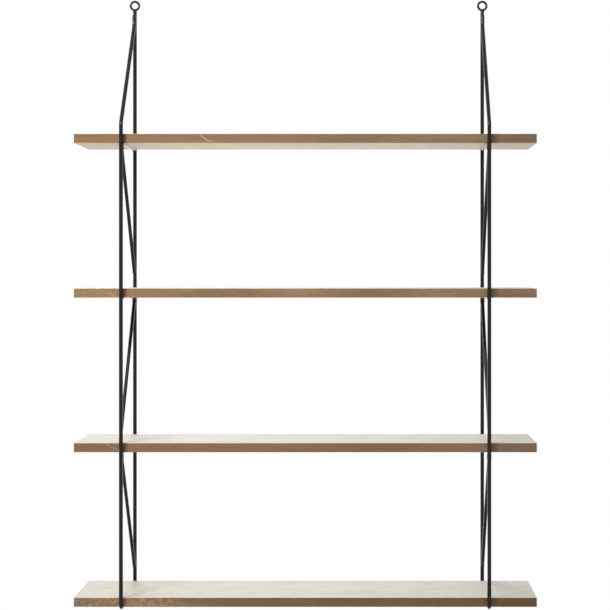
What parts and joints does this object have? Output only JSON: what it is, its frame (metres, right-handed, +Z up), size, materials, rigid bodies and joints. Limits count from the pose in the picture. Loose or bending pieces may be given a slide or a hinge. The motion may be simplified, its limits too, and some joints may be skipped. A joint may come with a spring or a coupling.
{
  "type": "hanging wall shelf",
  "caption": "Wall-hung open shelf with long pale wooden boards edged in brown, held in slim black bent-rod side frames with zigzag braces and hanging eyes.",
  "frame": {"origin": "midway between the centres of the two hanging eyes, in the plane of the eyes and of the rear rods' centre lines", "axes": "+X to the right as seen from the front, +Y towards the wall, +Z up; the front faces -Y"},
  "size_m": [1.15, 0.1999, 1.5492],
  "materials": {
    "black_coated_steel": "satin black coating on round steel bar",
    "pale_oak_face": "pale matt faces with a fine grain along the board",
    "brown_oak_edging": "satin brown edging with a fine grain along the edge"
  },
  "bodies": {
    "root": {"left_outer_rod": "black_coated_steel", "left_hanging_eye": "black_coated_steel", "left_brace_1": "black_coated_steel", "left_brace_2": "black_coated_steel", "left_brace_3": "black_coated_steel", "right_outer_rod": "black_coated_steel", "right_hanging_eye": "black_coated_steel", "right_brace_1": "black_coated_steel", "right_brace_2": "black_coated_steel", "right_brace_3": "black_coated_steel", "board_1_panel": "pale_oak_face", "board_1_front_edging": "brown_oak_edging", "board_1_rear_edging": "brown_oak_edging", "board_1_left_edging": "brown_oak_edging", "board_1_right_edging": "brown_oak_edging", "board_2_panel": "pale_oak_face", "board_2_front_edging": "brown_oak_edging", "board_2_rear_edging": "brown_oak_edging", "board_2_left_edging": "brown_oak_edging", "board_2_right_edging": "brown_oak_edging", "board_3_panel": "pale_oak_face", "board_3_front_edging": "brown_oak_edging", "board_3_rear_edging": "brown_oak_edging", "board_3_left_edging": "brown_oak_edging", "board_3_right_edging": "brown_oak_edging", "board_4_panel": "pale_oak_face", "board_4_front_edging": "brown_oak_edging", "board_4_rear_edging": "brown_oak_edging", "board_4_left_edging": "brown_oak_edging", "board_4_right_edging": "brown_oak_edging"}
  },
  "joints": []
}
